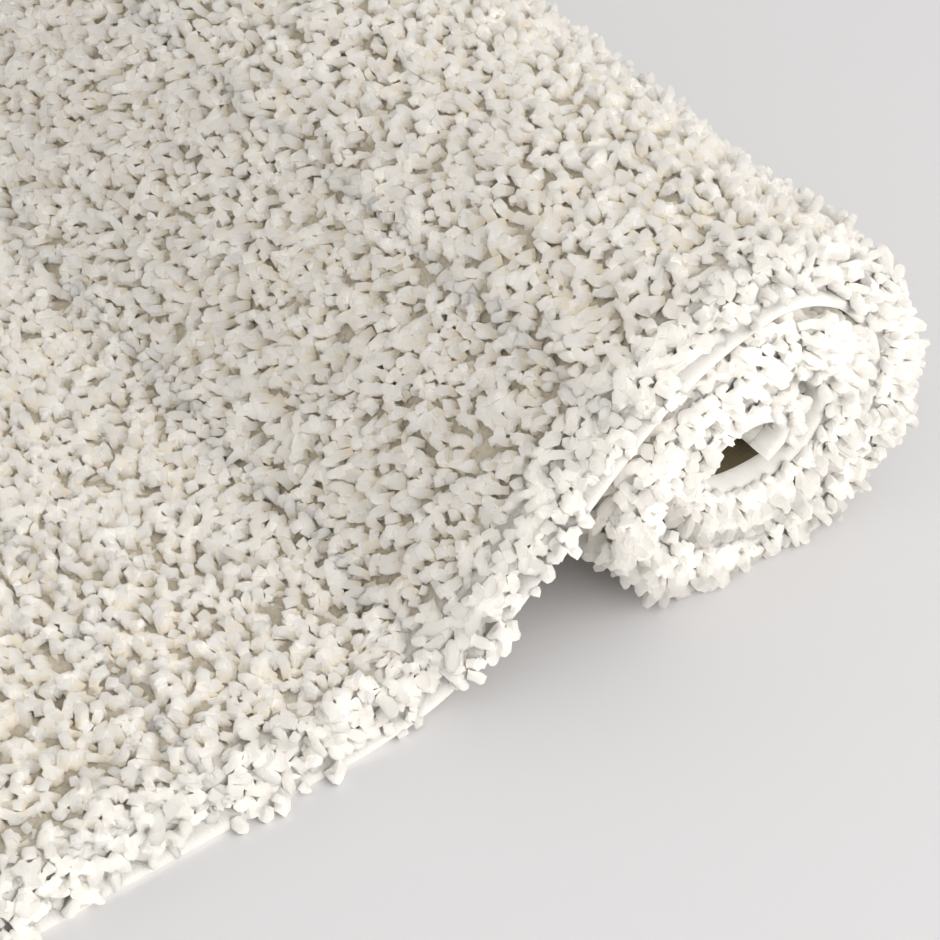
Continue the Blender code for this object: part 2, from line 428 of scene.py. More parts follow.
class Shading:
    """A material in the making, with short calls for what the finishes repeat."""

    def __init__(self, name: str, rough: float, gloss: float) -> None:
        """Starts a material.

        Args:
            name: The material's name.
            rough: How rough its surface is, from 0 to 1.
            gloss: How strongly it mirrors, from 0 to 1.
        """
        self.material = bpy.data.materials.new(name)
        self.material.use_nodes = True
        self.tree = self.material.node_tree
        self.shader = self.tree.nodes["Principled BSDF"]
        self.shader.inputs["Roughness"].default_value = rough
        self.shader.inputs["Specular IOR Level"].default_value = gloss

    def let_through(self, share: float, deep: float, tint: Triple = (1.0, 0.98, 0.94)) -> None:
        """Lets light into the finish, as between fibres.

        Args:
            share: How much of the light goes in, from 0 to 1.
            deep: How far it spreads.
            tint: How far each colour spreads, as a share of that.
        """
        self.shader.subsurface_method = "BURLEY"
        self.shader.inputs["Subsurface Weight"].default_value = share
        self.shader.inputs["Subsurface Radius"].default_value = tint
        self.shader.inputs["Subsurface Scale"].default_value = deep

    def group(self, group: bpy.types.NodeTree, **values: float | Colour) -> bpy.types.Node:
        """Places a shared node group with its own values.

        Args:
            group: The group to place.
            values: A value for each input named.

        Returns:
            The group's node.
        """
        placed = self.tree.nodes.new("ShaderNodeGroup")
        placed.node_tree = group
        for name, value in values.items():
            placed.inputs[name.title()].default_value = value
        return placed

    def named(self, name: str) -> bpy.types.Node:
        """Adds the node that reads a named attribute of the piece.

        Args:
            name: The attribute's name.

        Returns:
            The node.
        """
        made = self.tree.nodes.new("ShaderNodeAttribute")
        made.attribute_name = name
        return made

    def mixed(self, share: Socket, first: Socket | Colour, second: Socket | Colour) -> Socket:
        """Mixes two colours.

        Args:
            share: How much of the second colour shows.
            first: The first colour.
            second: The second colour.

        Returns:
            The mixed colour.
        """
        mix = self.tree.nodes.new("ShaderNodeMix")
        mix.data_type = "RGBA"
        self.tree.links.new(share, mix.inputs["Factor"])
        for name, colour in (("A", first), ("B", second)):
            if isinstance(colour, Socket):
                self.tree.links.new(colour, mix.inputs[name])
            else:
                mix.inputs[name].default_value = colour
        return mix.outputs["Result"]

    def finish(self, colour: Socket, height: Socket, strength: float, deep: float) -> bpy.types.Material:
        """Ends the material with its colour and its relief.

        Args:
            colour: The base colour.
            height: The relief's height.
            strength: How strongly the relief shows.
            deep: How deep it is.

        Returns:
            The material.
        """
        bump = self.tree.nodes.new("ShaderNodeBump")
        bump.inputs["Strength"].default_value = strength
        bump.inputs["Distance"].default_value = deep
        self.tree.links.new(colour, self.shader.inputs["Base Color"])
        self.tree.links.new(height, bump.inputs["Height"])
        self.tree.links.new(bump.outputs["Normal"], self.shader.inputs["Normal"])
        return self.material


@dataclass
class Fibres:
    """Shader groups for spun yarn: how its fibres catch the light and how its colour wanders."""

    fibre_detail: float = 3.0
    strand_rough: float = 0.65
    fuzz_scale: float = 1100.0
    fuzz_rough: float = 0.7
    cloud_detail: float = 4.0
    cloud_rough: float = 0.6
    relief: bpy.types.NodeTree = field(init=False)
    cloud: bpy.types.NodeTree = field(init=False)

    def __post_init__(self) -> None:
        """Builds the groups once, for every finish."""
        self.relief = self._relief()
        self.cloud = self._cloud()

    def _started(
        self, name: str, inputs: dict[str, str | float], output: tuple[str, str]
    ) -> tuple[bpy.types.NodeTree, bpy.types.Node, bpy.types.Node]:
        """Starts a shader group.

        Args:
            name: The group's name.
            inputs: What each input is: a kind of socket, or a number's usual value.
            output: The name and the kind of its output.

        Returns:
            The group's tree, the node of its inputs and the node of its output.
        """
        tree = bpy.data.node_groups.new(name, "ShaderNodeTree")
        face = tree.interface
        for label, what in inputs.items():
            if isinstance(what, str):
                face.new_socket(label, in_out="INPUT", socket_type=f"NodeSocket{what}")
            else:
                number = face.new_socket(label, in_out="INPUT", socket_type="NodeSocketFloat")
                number.default_value = what
        face.new_socket(output[0], in_out="OUTPUT", socket_type=f"NodeSocket{output[1]}")
        return tree, tree.nodes.new("NodeGroupInput"), tree.nodes.new("NodeGroupOutput")

    def _noise(self, tree: bpy.types.NodeTree, detail: float, rough: float) -> bpy.types.Node:
        """Adds a noise texture.

        Args:
            tree: The group's tree.
            detail: How many finer layers it has.
            rough: How strong the finer layers are.

        Returns:
            The noise's node.
        """
        noise = tree.nodes.new("ShaderNodeTexNoise")
        noise.inputs["Detail"].default_value = detail
        noise.inputs["Roughness"].default_value = rough
        return noise

    def _relief(self) -> bpy.types.NodeTree:
        """Builds a height that runs as fine twisted fibres along a yarn, by the yarn's own coordinates.

        Returns:
            The group.
        """
        inputs = {"Vector": "Vector", "Scale": 3.0, "Fuzz": 0.5}
        tree, enter, leave = self._started("yarn_fibres", inputs, ("Height", "Float"))
        strands = self._noise(tree, self.fibre_detail, self.strand_rough)
        fuzz = self._noise(tree, self.fibre_detail, self.fuzz_rough)
        fuzz.inputs["Scale"].default_value = self.fuzz_scale
        place = tree.nodes.new("ShaderNodeTexCoord")
        mix = tree.nodes.new("ShaderNodeMix")
        for source, target in (
            (enter.outputs["Vector"], strands.inputs["Vector"]),
            (enter.outputs["Scale"], strands.inputs["Scale"]),
            (place.outputs["Object"], fuzz.inputs["Vector"]),
            (enter.outputs["Fuzz"], mix.inputs["Factor"]),
            (strands.outputs["Fac"], mix.inputs["A"]),
            (fuzz.outputs["Fac"], mix.inputs["B"]),
            (mix.outputs["Result"], leave.inputs["Height"]),
        ):
            tree.links.new(source, target)
        return tree

    def _cloud(self) -> bpy.types.NodeTree:
        """Builds a slow wandering between two colours, with a finer one over it.

        Returns:
            The group.
        """
        inputs = {"Light": "Color", "Dark": "Color", "Scale": 20.0, "Amount": 0.5}
        tree, enter, leave = self._started("colour_cloud", inputs, ("Color", "Color"))
        noise = self._noise(tree, self.cloud_detail, self.cloud_rough)
        place = tree.nodes.new("ShaderNodeTexCoord")
        amount = tree.nodes.new("ShaderNodeMath")
        amount.operation = "MULTIPLY"
        mix = tree.nodes.new("ShaderNodeMix")
        mix.data_type = "RGBA"
        for source, target in (
            (place.outputs["Object"], noise.inputs["Vector"]),
            (enter.outputs["Scale"], noise.inputs["Scale"]),
            (noise.outputs["Fac"], amount.inputs[0]),
            (enter.outputs["Amount"], amount.inputs[1]),
            (amount.outputs["Value"], mix.inputs["Factor"]),
            (enter.outputs["Light"], mix.inputs["A"]),
            (enter.outputs["Dark"], mix.inputs["B"]),
            (mix.outputs["Result"], leave.inputs["Color"]),
        ):
            tree.links.new(source, target)
        return tree


@dataclass(frozen=True)
class YarnFinish:
    """Spun yarn whose colour differs from yarn to yarn, with painted shade: it darkens and warms from
    its tip to its root, and in the shorter tufts, where shade falls between the yarns.

    The rim is its colour at the rug's edges, painted light in place of that shade, where the light reaches
    down to the roots. A yarn is free of the painted shade from fall_end on, as a share of its length.
    """

    name: str
    tip: Colour
    root: Colour
    # The colour of the painted shade at the yarns' roots and in the shorter tufts.
    deep: Colour
    # The colour at the rug's edges, painted light in place of the root shade.
    rim: Colour
    cloud: float = 28.0
    cloud_amount: float = 0.55
    fall_end: float = 0.75
    sheen: float = 0.35
    sheen_rough: float = 0.6
    sheen_tint: Colour = (1.0, 0.97, 0.92, 1.0)
    rough: float = 0.92
    gloss: float = 0.2
    glow: float = 1.0
    glow_deep: float = 6.0 * MM
    strands: float = 2.6
    fuzz: float = 0.6
    relief: float = 0.5
    relief_deep: float = 0.4 * MM

    def material(self, fibres: Fibres) -> bpy.types.Material:
        """Builds the finish.

        Args:
            fibres: The shared shader groups.

        Returns:
            The material.
        """
        made = Shading(self.name, self.rough, self.gloss)
        made.shader.inputs["Sheen Weight"].default_value = self.sheen
        made.shader.inputs["Sheen Roughness"].default_value = self.sheen_rough
        made.shader.inputs["Sheen Tint"].default_value = self.sheen_tint
        made.let_through(self.glow, self.glow_deep)
        colours = {"light": self.tip, "dark": self.root}
        cloud = made.group(fibres.cloud, scale=self.cloud, amount=self.cloud_amount, **colours)
        tint = made.mixed(made.named("tone").outputs["Fac"], cloud.outputs["Color"], self.root)
        # Painted shade: towards each yarn's root, and in the shorter tufts, the colour turns to the deep
        # colour, by the light attribute.
        fall = made.tree.nodes.new("ShaderNodeMapRange")
        fall.interpolation_type = "SMOOTHSTEP"
        fall.inputs["From Min"].default_value = 0.0
        fall.inputs["From Max"].default_value = self.fall_end
        made.tree.links.new(made.named("light").outputs["Fac"], fall.inputs["Value"])
        root_shaded = made.mixed(fall.outputs["Result"], self.deep, tint)
        # Painted light: at the rug's edges the rim colour takes the place of the painted shade, where
        # light reaches down to the roots.
        colour = made.mixed(made.named("edge").outputs["Fac"], root_shaded, self.rim)
        relief = made.group(fibres.relief, scale=self.strands, fuzz=self.fuzz)
        made.tree.links.new(made.named("fibre").outputs["Vector"], relief.inputs["Vector"])
        return made.finish(colour, relief.outputs["Height"], self.relief, self.relief_deep)


@dataclass(frozen=True)
class ClothFinish:
    """A close matte cloth with a fine weave, for the backing, the pile's bed and the tape.

    The weave's ridges follow each other along each of the runs. The rim is its colour at the rug's
    edges, painted light where the light reaches down into the pile, or else it is light there.
    """

    name: str
    light: Colour
    dark: Colour
    weave: float = 200.0
    weave_bent: float = 1.0
    runs: tuple[Run, ...] = (Run.LENGTH, Run.WIDTH)
    cloud: float = 60.0
    cloud_amount: float = 0.8
    fuzz: float = 330.0
    fuzz_detail: float = 3.0
    rough: float = 0.95
    gloss: float = 0.15
    relief: float = 0.6
    relief_deep: float = 0.5 * MM
    glow: float = 0.0
    glow_deep: float = 3.0 * MM
    rim: Colour | None = None

    def material(self, fibres: Fibres) -> bpy.types.Material:
        """Builds the finish.

        Args:
            fibres: The shared shader groups.

        Returns:
            The material.
        """
        made = Shading(self.name, self.rough, self.gloss)
        made.let_through(self.glow, self.glow_deep)
        colours = {"light": self.light, "dark": self.dark}
        cloud = made.group(fibres.cloud, scale=self.cloud, amount=self.cloud_amount, **colours)
        # Painted light: at the rug's edges the rim colour takes over, where light reaches into the pile.
        edge = made.named("edge").outputs["Fac"]
        colour = made.mixed(edge, cloud.outputs["Color"], self.rim or self.light)
        return made.finish(colour, self._woven(made), self.relief, self.relief_deep)

    def _woven(self, made: Shading) -> Socket:
        """Adds the height of the weave's ridges, with fuzz between them.

        Args:
            made: The material in the making.

        Returns:
            The height.
        """
        nodes, links = made.tree.nodes, made.tree.links
        flat = nodes.new("ShaderNodeUVMap")
        flat.uv_map = "flat"
        place = nodes.new("ShaderNodeTexCoord")
        fuzz = nodes.new("ShaderNodeTexNoise")
        fuzz.inputs["Scale"].default_value = self.fuzz
        fuzz.inputs["Detail"].default_value = self.fuzz_detail
        links.new(place.outputs["Object"], fuzz.inputs["Vector"])
        height = fuzz.outputs["Fac"]
        for run in self.runs:
            wave = nodes.new("ShaderNodeTexWave")
            wave.bands_direction = run.value
            wave.inputs["Scale"].default_value = self.weave
            wave.inputs["Distortion"].default_value = self.weave_bent
            links.new(flat.outputs["UV"], wave.inputs["Vector"])
            both = nodes.new("ShaderNodeMath")
            both.operation = "MAXIMUM"
            links.new(height, both.inputs[0])
            links.new(wave.outputs["Fac"], both.inputs[1])
            height = both.outputs["Value"]
        return height


class GeoTree:
    """A Geometry Nodes tree in the making, with short calls for what its builders repeat."""

    def __init__(self, name: str) -> None:
        """Starts an empty tree that takes and gives a geometry.

        Args:
            name: The tree's name.
        """
        self.tree = bpy.data.node_groups.new(name, "GeometryNodeTree")
        face = self.tree.interface
        face.new_socket("Geometry", in_out="INPUT", socket_type="NodeSocketGeometry")
        face.new_socket("Geometry", in_out="OUTPUT", socket_type="NodeSocketGeometry")
        self.enter = self.tree.nodes.new("NodeGroupInput")
        self.leave = self.tree.nodes.new("NodeGroupOutput")

    def size(self, name: str, value: float, whole: bool = False) -> Socket:
        """Adds a named number to the tree's inputs.

        Args:
            name: The input's name.
            value: Its usual value.
            whole: Whether it is a whole number.

        Returns:
            The socket that carries it.
        """
        kind = "NodeSocketInt" if whole else "NodeSocketFloat"
        socket = self.tree.interface.new_socket(name, in_out="INPUT", socket_type=kind)
        socket.default_value = value
        return self.enter.outputs[name]

    def add(self, kind: str, values: dict | None = None, **settings: object) -> bpy.types.Node:
        """Adds a node.

        Args:
            kind: Blender's name for the node.
            values: What each input takes, by its name or number: a socket to link, or a value.
            settings: The node's own settings.

        Returns:
            The node.
        """
        made = self.tree.nodes.new(kind)
        for name, value in settings.items():
            setattr(made, name, value)
        for name, value in (values or {}).items():
            socket = made.inputs[name]
            if isinstance(value, Socket):
                self.tree.links.new(value, socket)
            else:
                socket.default_value = value
        return made

    def part(self) -> Socket:
        """How far along its curve a point is, from 0 to 1."""
        return self.add("GeometryNodeSplineParameter").outputs["Factor"]

    def here(self) -> Socket:
        """Where a point is."""
        return self.add("GeometryNodeInputPosition").outputs[0]

    def math(self, operation: str, first: Term, second: Term = 0.0) -> Socket:
        """One sum of two numbers."""
        return self.add("ShaderNodeMath", {0: first, 1: second}, operation=operation).outputs[0]

    def vector(self, operation: str, first: Term, second: Term) -> Socket:
        """One sum of two vectors."""
        return self.add("ShaderNodeVectorMath", {0: first, 1: second}, operation=operation).outputs[0]

    def scaled(self, vector: Term, scale: Term) -> Socket:
        """A vector times a number."""
        return self.add("ShaderNodeVectorMath", {0: vector, 3: scale}, operation="SCALE").outputs[0]

    def joined(self, **values: Term) -> Socket:
        """A vector of the numbers given for its X, Y and Z, or else 0."""
        return self.add("ShaderNodeCombineXYZ", values).outputs[0]

    def noise(self, scale: float, detail: float = 1.0) -> bpy.types.Node:
        """A noise over the places of the points, at this scale and with this much detail."""
        return self.add("ShaderNodeTexNoise", {"Vector": self.here(), "Scale": scale, "Detail": detail})

    def centred(self, noise: bpy.types.Node) -> Socket:
        """A noise's colour, as a vector about zero."""
        return self.vector("SUBTRACT", noise.outputs["Color"], (0.5, 0.5, 0.5))

    def random(self, low: float, high: float, draw: Draw, kind: Kind = Kind.NUMBER) -> Socket:
        """Draws a random number or vector, fixed by its seed.

        Args:
            low: The least that it is, in each part of a vector.
            high: The most.
            draw: Which draw it is, with its seed.
            kind: Whether it is a number or a vector.

        Returns:
            The number or vector.
        """
        made = self.add("FunctionNodeRandomValue", data_type=kind.value)
        vector = kind is Kind.VECTOR
        # The node has its sockets for vectors first, and then those for numbers.
        first, second, result = (0, 1, 0) if vector else (2, 3, 1)
        made.inputs[first].default_value = (low,) * 3 if vector else low
        made.inputs[second].default_value = (high,) * 3 if vector else high
        made.inputs["Seed"].default_value = draw.value
        return made.outputs[result]

    def named(self, name: str, kind: Kind = Kind.NUMBER) -> Socket:
        """The value of a named attribute."""
        made = self.add("GeometryNodeInputNamedAttribute", {"Name": name}, data_type=kind.value)
        return made.outputs["Attribute"]

    def store(
        self,
        geometry: Socket,
        name: str,
        value: Term,
        kind: Kind = Kind.NUMBER,
        domain: Domain = Domain.POINT,
    ) -> Socket:
        """Keeps a value on the geometry under a name.

        Args:
            geometry: The geometry.
            name: The attribute's name.
            value: The value.
            kind: The value's kind.
            domain: What it is kept for.

        Returns:
            The geometry with the value on it.
        """
        values = {"Geometry": geometry, "Name": name, "Value": value}
        settings = {"data_type": kind.value, "domain": domain.value}
        return self.add("GeometryNodeStoreNamedAttribute", values, **settings).outputs[0]

    def moved(self, geometry: Socket, **values: Term) -> Socket:
        """The geometry with its points at another Position, or moved by an Offset."""
        return self.add("GeometryNodeSetPosition", {"Geometry": geometry, **values}).outputs[0]

    def finish(self, geometry: Socket, material: bpy.types.Material) -> None:
        """Ends the tree: real geometry, shaded smooth, with its material.

        Args:
            geometry: What the tree has made.
            material: Its finish.
        """
        real = self.add("GeometryNodeRealizeInstances", {"Geometry": geometry}).outputs[0]
        smooth = self.add("GeometryNodeSetShadeSmooth", {"Geometry": real}).outputs[0]
        dressed = self.add("GeometryNodeSetMaterial", {"Geometry": smooth, "Material": material})
        self.tree.links.new(dressed.outputs[0], self.leave.inputs[0])

    def grow(self, ground: bpy.types.Object, values: dict[str, float]) -> bpy.types.Object:
        """Runs the tree on an object and gives a plain mesh in its place.

        Args:
            ground: The object that the tree grows from. It is removed.
            values: The named inputs to set.

        Returns:
            The new object, under the old one's name.
        """
        modifier = ground.modifiers.new("grow", "NODES")
        modifier.node_group = self.tree
        for item in self.tree.interface.items_tree:
            if item.in_out == "INPUT" and item.name in values:
                modifier[item.identifier] = values[item.name]
        graph = bpy.context.evaluated_depsgraph_get()
        data = bpy.data.meshes.new_from_object(ground.evaluated_get(graph))
        ground.modifiers.remove(modifier)
        name = ground.name
        bpy.data.objects.remove(ground)
        data.name = name
        return linked(name, data)


@dataclass
class YarnTree(GeoTree):
    """Grows bent, blunt yarn ends from the faces of the pile's ground.

    The lean, the clump and the swell are how far a yarn differs from its neighbours: in its own
    direction, in its tuft's direction, and in its tuft's length. The shape is how thick a yarn is at each
    share of its length. Twist, apart and along lay out the coordinates of its fibres.
    """

    material: bpy.types.Material
    spacing: float = 3.0 * MM
    half_thick: float = 2.35 * MM
    lean: float = 1.0
    clump: float = 2.1
    bend: float = 2.6 * MM
    crowding: float = 8.0
    stem_points: int = 4
    stem_power: float = 1.5
    clump_scale: float = 62.0
    swell_from: tuple[float, float] = (0.33, 0.67)
    swell_to: tuple[float, float] = (0.82, 1.25)
    lengths: tuple[float, float] = (0.82, 1.15)
    girths: tuple[float, float] = (0.78, 1.2)
    floor_gap: float = 2.3 * MM
    shape: tuple[tuple[float, float], ...] = ((0.0, 0.85), (0.5, 1.1), (0.82, 0.98), (1.0, 0.48))
    ring_points: int = 4
    lump_scale: float = 620.0
    twist: float = 2.5
    apart: float = 40.0
    along: float = 0.8

    def __post_init__(self) -> None:
        """Builds the tree."""
        super().__init__("yarn_ends")
        spacing = self.size("Spacing", self.spacing)
        thick = self.size("Half Thickness", self.half_thick)
        lean = self.size("Lean", self.lean)
        clump = self.size("Clump", self.clump)
        bend = self.size("Bend", self.bend)
        seed = self.size("Seed", 1, whole=True)
        yarns = self._planted(self._points(spacing, seed), lean, clump)
        self.finish(self._tubes(self._bent(yarns, bend), thick), self.material)

    def _points(self, spacing: Socket, seed: Socket) -> Socket:
        """Scatters even random points on the ground, fewer where the ground's crowd is low.

        Args:
            spacing: The least distance between two points.
            seed: The scatter's seed.

        Returns:
            The points.
        """
        densest = self.math("DIVIDE", self.crowding, self.math("MULTIPLY", spacing, spacing))
        values = {"Mesh": self.enter.outputs[0], "Distance Min": spacing, "Density Max": densest}
        values |= {"Density Factor": self.named("crowd"), "Seed": seed}
        kind = "GeometryNodeDistributePointsOnFaces"
        return self.add(kind, values, distribute_method="POISSON").outputs["Points"]

    def _stem(self) -> Socket:
        """Makes a straight yarn of length 1, its points closer together towards the tip.

        Returns:
            The yarn, as a curve.
        """
        stem = self.add("GeometryNodeCurvePrimitiveLine", {"End": (0.0, 0.0, 1.0)}).outputs[0]
        values = {"Curve": stem, "Count": self.stem_points}
        stem = self.add("GeometryNodeResampleCurve", values).outputs[0]
        left = self.math("POWER", self.math("SUBTRACT", 1.0, self.part()), self.stem_power)
        return self.moved(stem, Position=self.joined(Z=self.math("SUBTRACT", 1.0, left)))

    def _planted(self, points: Socket, lean: Socket, clump: Socket) -> Socket:
        """Sets a straight yarn on each point, leaning its own way and its clump's.

        Args:
            points: The points.
            lean: How far a yarn leans its own way.
            clump: How far it leans its clump's way.

        Returns:
            The yarns, as curves.
        """
        noise = self.noise(self.clump_scale)
        own = self.scaled(self.random(-1.0, 1.0, Draw.LEAN, Kind.VECTOR), lean)
        own = self.vector("ADD", own, self.scaled(self.centred(noise), clump))
        way = self.vector("ADD", self.named("grow", Kind.VECTOR), own)
        turn = self.add("FunctionNodeAlignRotationToVector", {"Vector": way}, axis="Z").outputs[0]
        values = {"Value": noise.outputs["Fac"]}
        values |= {"From Min": self.swell_from[0], "From Max": self.swell_from[1]}
        values |= {"To Min": self.swell_to[0], "To Max": self.swell_to[1]}
        swell = self.add("ShaderNodeMapRange", values).outputs["Result"]
        reach = self.math("MULTIPLY", self.named("reach"), self.random(*self.lengths, Draw.LENGTH))
        reach = self.math("MULTIPLY", reach, swell)
        points = self.store(points, "swell", swell)
        values = {"Points": points, "Instance": self._stem(), "Rotation": turn, "Scale": reach}
        planted = self.add("GeometryNodeInstanceOnPoints", values).outputs[0]
        swing = self.random(-1.0, 1.0, Draw.SWING, Kind.VECTOR)
        planted = self.store(planted, "swing", swing, Kind.VECTOR, Domain.INSTANCE)
        girth, tone = self.random(*self.girths, Draw.GIRTH), self.random(0.0, 1.0, Draw.TONE)
        planted = self.store(planted, "girth", girth, domain=Domain.INSTANCE)
        planted = self.store(planted, "tone", tone, domain=Domain.INSTANCE)
        return self.add("GeometryNodeRealizeInstances", {"Geometry": planted}).outputs[0]

    def _bent(self, yarns: Socket, bend: Socket) -> Socket:
        """Bends each yarn its own way and lets its tip sink, with its middle line over the floor.

        Args:
            yarns: The yarns, as curves.
            bend: How far a tip swings aside.

        Returns:
            The bent yarns.
        """
        part = self.part()
        swing = self.scaled(self.named("swing", Kind.VECTOR), bend)
        sink = self.joined(Z=self.math("MULTIPLY", self.named("sag"), -1.0))
        shift = self.scaled(self.vector("ADD", swing, sink), self.math("MULTIPLY", part, part))
        yarns = self.moved(yarns, Offset=shift)
        split = self.add("ShaderNodeSeparateXYZ", {"Vector": self.here()}).outputs
        above = self.math("MAXIMUM", split["Z"], self.floor_gap)
        yarns = self.moved(yarns, Position=self.joined(X=split["X"], Y=split["Y"], Z=above))
        return self.store(yarns, "tip", part)

    def _radius(self) -> Socket:
        """Works out how thick a yarn is along its length, by the shape and its own girth.

        Returns:
            Its thickness, as a share of the usual one.
        """
        swell = self.add("ShaderNodeFloatCurve", {"Value": self.named("tip")})
        curve = swell.mapping.curves[0]
        curve.points[0].location, curve.points[1].location = self.shape[0], self.shape[-1]
        for place in self.shape[1:-1]:
            curve.points.new(*place)
        swell.mapping.update()
        return self.math("MULTIPLY", swell.outputs[0], self.named("girth"))

    def _tubes(self, yarns: Socket, thick: Socket) -> Socket:
        """Gives each yarn its thickness, blunt and a little lumpy, and its fibres' coordinates.

        Args:
            yarns: The bent yarns, as curves.
            thick: Half of a yarn's usual thickness.

        Returns:
            The yarns, as closed tubes.
        """
        values = {"Resolution": self.ring_points, "Radius": 1.0}
        ring = self.add("GeometryNodeCurvePrimitiveCircle", values).outputs[0]
        ring = self.store(ring, "around", self.part())
        scale = self.math("MULTIPLY", self._radius(), thick)
        values = {"Curve": yarns, "Profile Curve": ring, "Scale": scale, "Fill Caps": True}
        tubes = self.add("GeometryNodeCurveToMesh", values).outputs[0]
        tubes = self.moved(tubes, Offset=self.scaled(self.centred(self.noise(self.lump_scale)), thick))
        tip = self.named("tip")
        turn = self.math("MULTIPLY", self.named("around"), 2 * math.pi)
        turn = self.math("ADD", turn, self.math("MULTIPLY", tip, self.twist))
        own = self.math("MULTIPLY", self.named("tone"), self.apart)
        along = self.math("ADD", own, self.math("MULTIPLY", tip, self.along))
        fibre = self.joined(X=self.math("COSINE", turn), Y=self.math("SINE", turn), Z=along)
        tubes = self.store(tubes, "fibre", fibre, Kind.VECTOR)
        # The light attribute guides the painted shade: how far up its yarn a point is, times how tall its
        # tuft stands.
        return self.store(tubes, "light", self.math("MULTIPLY", tip, self.named("swell")))


class Measure(Enum):
    """What a rim tells at its length, by the names of its fields."""

    FLARE = "flare"
    SPILL = "spill"
    ASIDE = "aside"
    SAG = "sag"
    COVER = "cover"


@dataclass(frozen=True)
class Rim:
    """How the pile meets the side bindings at one length.

    The flare is how far the bed leans over the binding, the spill how long the yarns are there, aside
    how far they turn outwards, sag how far their tips sink, and cover how many hang over the binding.
    """

    length: float
    flare: float
    spill: float
    aside: float
    sag: float
    cover: float


RIMS = (
    Rim(0.000, 3.0 * MM, 5.5 * MM, 0.5, 2.5 * MM, 0.60),
    Rim(0.150, 3.0 * MM, 5.5 * MM, 0.5, 2.5 * MM, 0.55),
    Rim(0.195, 3.0 * MM, 5.5 * MM, 0.4, 2.0 * MM, 0.35),
    Rim(0.235, 3.5 * MM, 5.5 * MM, 0.5, 2.5 * MM, 0.75),
    Rim(0.280, 3.0 * MM, 5.5 * MM, 0.4, 2.0 * MM, 0.35),
    Rim(0.330, 3.5 * MM, 5.5 * MM, 0.5, 2.0 * MM, 0.75),
    Rim(0.430, 3.5 * MM, 5.5 * MM, 0.5, 1.0 * MM, 0.55),
    Rim(0.480, 3.5 * MM, 5.5 * MM, 0.4, 1.0 * MM, 0.15),
    Rim(0.520, 7.0 * MM, 4.5 * MM, 1.0, 1.5 * MM, 0.40),
    Rim(0.560, 10.0 * MM, 4.2 * MM, 1.2, 1.0 * MM, 0.95),
    Rim(0.660, 10.0 * MM, 4.2 * MM, 1.2, 1.0 * MM, 0.95),
    Rim(0.700, 9.5 * MM, 4.2 * MM, 1.2, 1.0 * MM, 0.55),
    Rim(0.740, 10.0 * MM, 4.2 * MM, 1.2, 1.5 * MM, 0.95),
    Rim(0.785, 10.0 * MM, 4.2 * MM, 1.2, 1.5 * MM, 0.60),
    Rim(0.820, 9.5 * MM, 4.2 * MM, 1.2, 1.5 * MM, 0.95),
    Rim(0.850, 8.5 * MM, 4.2 * MM, 1.1, 1.0 * MM, 0.50),
    Rim(0.900, 7.0 * MM, 4.2 * MM, 1.0, 0.5 * MM, 0.30),
)


@dataclass(frozen=True)
class Stretch:
    """A stretch of the pile that is one piece: its name, its lengths, and how full it is."""

    name: str
    start: float
    end: float
    crowd: float = 1.0


@dataclass(frozen=True)
class Row:
    """A row of the pile's ground, along the rug or across it.

    Up is its share of the bed's height, and over its share of the binding's width, from inside to outside.
    """

    place: float
    up: float
    over: float = 0.0


@dataclass(frozen=True)
class Spot:
    """A point of the pile's ground: where it is on the flat rug, and the yarns that grow there."""

    flat: Triple
    grow: Triple
    reach: float
    sag: float
    edge: float
    crowd: float


@dataclass(frozen=True)
class Tufts:
    """The lumps of the bed: the product of a wave along the rug and one across it, each of its own length.

    Each wave drifts, by at most drift radians, as a slower wave the other way.
    """

    deep: float = 2.4 * MM
    along: float = 0.0225
    across: float = 0.0195
    drift: float = 2.6
    drift_along: float = 0.041
    drift_across: float = 0.047

    def sunk(self, length: np.ndarray, across: np.ndarray) -> np.ndarray:
        """Works out how far the bed sinks between its tufts.

        Args:
            length: The lengths of the places.
            across: Where they are across.

        Returns:
            The depth at each place.
        """
        full = 2 * math.pi
        aside = self.drift * np.sin(full * across / self.drift_across)
        ahead = self.drift * np.sin(full * length / self.drift_along)
        first = np.sin(full * length / self.along + aside)
        second = np.sin(full * across / self.across + ahead)
        return self.deep * (0.5 + 0.5 * first * second)


@dataclass(frozen=True)
class Cover:
    """How full the binding is of the yarns that hang over it, in patches, and fewer further out."""

    gain: float = 1.6
    least: float = 0.3
    patchy: float = 0.3
    thinning: float = 0.8
    phase: float = 1.7
    patch_ahead: float = 0.047
    patch_back: float = 0.0293

    def share(self, cover: float, length: float, across: float, over: float) -> float:
        """Works out how full the binding is at one place.

        Args:
            cover: The rim's cover there.
            length: The place's length.
            across: Where it is across.
            over: Its share of the binding's width.

        Returns:
            How full it is, from 0 to 1.
        """
        phase = self.phase * math.copysign(1.0, across)
        patches = math.sin(2 * math.pi * (length + across) / self.patch_ahead + phase)
        patches += math.sin(2 * math.pi * (length - across) / self.patch_back - phase)
        thinner = self.thinning * over * (1.0 - cover)
        return float(np.clip(self.gain * cover - self.least + self.patchy * patches - thinner, 0.0, 1.0))


